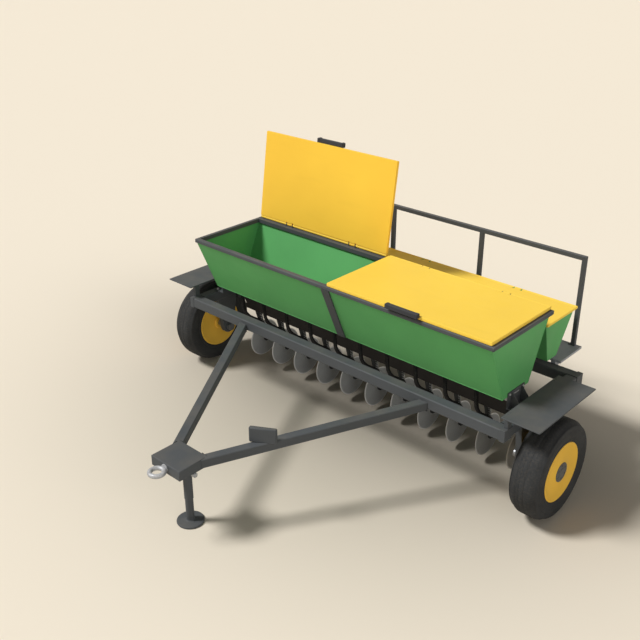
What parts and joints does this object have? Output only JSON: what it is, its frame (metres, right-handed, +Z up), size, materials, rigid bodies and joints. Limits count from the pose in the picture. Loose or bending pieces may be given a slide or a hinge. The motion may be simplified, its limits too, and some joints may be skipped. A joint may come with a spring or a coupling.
{
  "type": "seed drill",
  "caption": "Towed 3 m drawn disc seed drill: green hopper with yellow lids, rear small-seed box, platform with handrail, disc openers, parking jack",
  "frame": {"origin": "On the ground, under the middle of the drill's outline seen from above", "axes": "X runs along the hopper, +X to the side of the closed lid; -Y points to the towing eye; +Z is up"},
  "size_m": [3.81, 3.191, 2.1871],
  "materials": {
    "green_paint": "satin",
    "green_plastic": "satin",
    "yellow_lid": "satin",
    "yellow_rim": "satin",
    "grey_paint": "satin",
    "grey_aluminium": "satin",
    "grey_plastic": "matte",
    "bare_steel": "satin",
    "disc_steel": "satin",
    "tyre": "matte"
  },
  "bodies": {
    "chassis": {"front_beam": "grey_paint", "rear_beam": "grey_paint", "side_beam_left": "grey_paint", "side_beam_right": "grey_paint", "hitch_block": "grey_paint", "hitch_eye": "bare_steel", "drawbar_left": "grey_paint", "drawbar_right": "grey_paint", "coupling_holder": "grey_paint", "jack_sleeve": "grey_paint", "jack_plunger": "bare_steel", "hopper_box": "green_paint", "hopper_rim": "grey_paint", "centre_strap": "grey_paint", "hopper_stand_left": "grey_paint", "hopper_stand_right": "grey_paint", "rear_box": "green_plastic", "platform": "grey_aluminium", "handrail": "grey_aluminium", "axle_left": "bare_steel", "axle_right": "bare_steel", "axle_arm_left": "grey_paint", "axle_arm_right": "grey_paint", "fender_left": "grey_paint", "fender_right": "grey_paint", "metering_unit": "grey_paint", "opener_gang": "grey_paint"},
    "jack": {"jack_leg": "grey_paint"},
    "lid_left": {"lid_left": "yellow_lid", "lid_left_handle": "grey_plastic"},
    "lid_right": {"lid_right": "yellow_lid", "lid_right_handle": "grey_plastic"},
    "rear_lid": {"rear_lid": "yellow_lid"},
    "wheel_left": {"tyre_left": "tyre", "wheel_disc_left": "yellow_rim"},
    "wheel_right": {"tyre_right": "tyre", "wheel_disc_right": "yellow_rim"},
    "disc_01": {"disc_01": "disc_steel"},
    "disc_02": {"disc_02": "disc_steel"},
    "disc_03": {"disc_03": "disc_steel"},
    "disc_04": {"disc_04": "disc_steel"},
    "disc_05": {"disc_05": "disc_steel"},
    "disc_06": {"disc_06": "disc_steel"},
    "disc_07": {"disc_07": "disc_steel"},
    "disc_08": {"disc_08": "disc_steel"},
    "disc_09": {"disc_09": "disc_steel"},
    "disc_10": {"disc_10": "disc_steel"},
    "disc_11": {"disc_11": "disc_steel"}
  },
  "joints": [
    {"name": "wheel_left_turn", "type": "hinge", "parent": "chassis", "child": "wheel_left", "pos_m": [-1.796, 0.5355, 0.378], "axis": [1, 0, 0], "continuous": true},
    {"name": "wheel_right_turn", "type": "hinge", "parent": "chassis", "child": "wheel_right", "pos_m": [1.796, 0.5355, 0.378], "axis": [1, 0, 0], "continuous": true},
    {"name": "lid_left_hinge", "type": "hinge", "parent": "chassis", "child": "lid_left", "pos_m": [0, 0.9165, 1.3896], "axis": [1, 0, 0], "range_deg": [0, 98]},
    {"name": "lid_right_hinge", "type": "hinge", "parent": "chassis", "child": "lid_right", "pos_m": [0, 0.9165, 1.3896], "axis": [-1, 0, 0], "range_deg": [0, 98]},
    {"name": "rear_lid_hinge", "type": "hinge", "parent": "chassis", "child": "rear_lid", "pos_m": [0, 1.4665, 1.185], "axis": [-1, 0, 0], "range_deg": [0, 95]},
    {"name": "jack_slide", "type": "slide", "parent": "chassis", "child": "jack", "axis": [0, 0, 1], "range_m": [0, 0.17]},
    {"name": "disc_01_turn", "type": "hinge", "parent": "chassis", "child": "disc_01", "pos_m": [-1.395, 0.8355, 0.207], "axis": [1, 0, 0], "continuous": true},
    {"name": "disc_02_turn", "type": "hinge", "parent": "chassis", "child": "disc_02", "pos_m": [-1.116, 0.8355, 0.207], "axis": [1, 0, 0], "continuous": true},
    {"name": "disc_03_turn", "type": "hinge", "parent": "chassis", "child": "disc_03", "pos_m": [-0.837, 0.8355, 0.207], "axis": [1, 0, 0], "continuous": true},
    {"name": "disc_04_turn", "type": "hinge", "parent": "chassis", "child": "disc_04", "pos_m": [-0.558, 0.8355, 0.207], "axis": [1, 0, 0], "continuous": true},
    {"name": "disc_05_turn", "type": "hinge", "parent": "chassis", "child": "disc_05", "pos_m": [-0.279, 0.8355, 0.207], "axis": [1, 0, 0], "continuous": true},
    {"name": "disc_06_turn", "type": "hinge", "parent": "chassis", "child": "disc_06", "pos_m": [0, 0.8355, 0.207], "axis": [1, 0, 0], "continuous": true},
    {"name": "disc_07_turn", "type": "hinge", "parent": "chassis", "child": "disc_07", "pos_m": [0.279, 0.8355, 0.207], "axis": [1, 0, 0], "continuous": true},
    {"name": "disc_08_turn", "type": "hinge", "parent": "chassis", "child": "disc_08", "pos_m": [0.558, 0.8355, 0.207], "axis": [1, 0, 0], "continuous": true},
    {"name": "disc_09_turn", "type": "hinge", "parent": "chassis", "child": "disc_09", "pos_m": [0.837, 0.8355, 0.207], "axis": [1, 0, 0], "continuous": true},
    {"name": "disc_10_turn", "type": "hinge", "parent": "chassis", "child": "disc_10", "pos_m": [1.116, 0.8355, 0.207], "axis": [1, 0, 0], "continuous": true},
    {"name": "disc_11_turn", "type": "hinge", "parent": "chassis", "child": "disc_11", "pos_m": [1.395, 0.8355, 0.207], "axis": [1, 0, 0], "continuous": true}
  ]
}
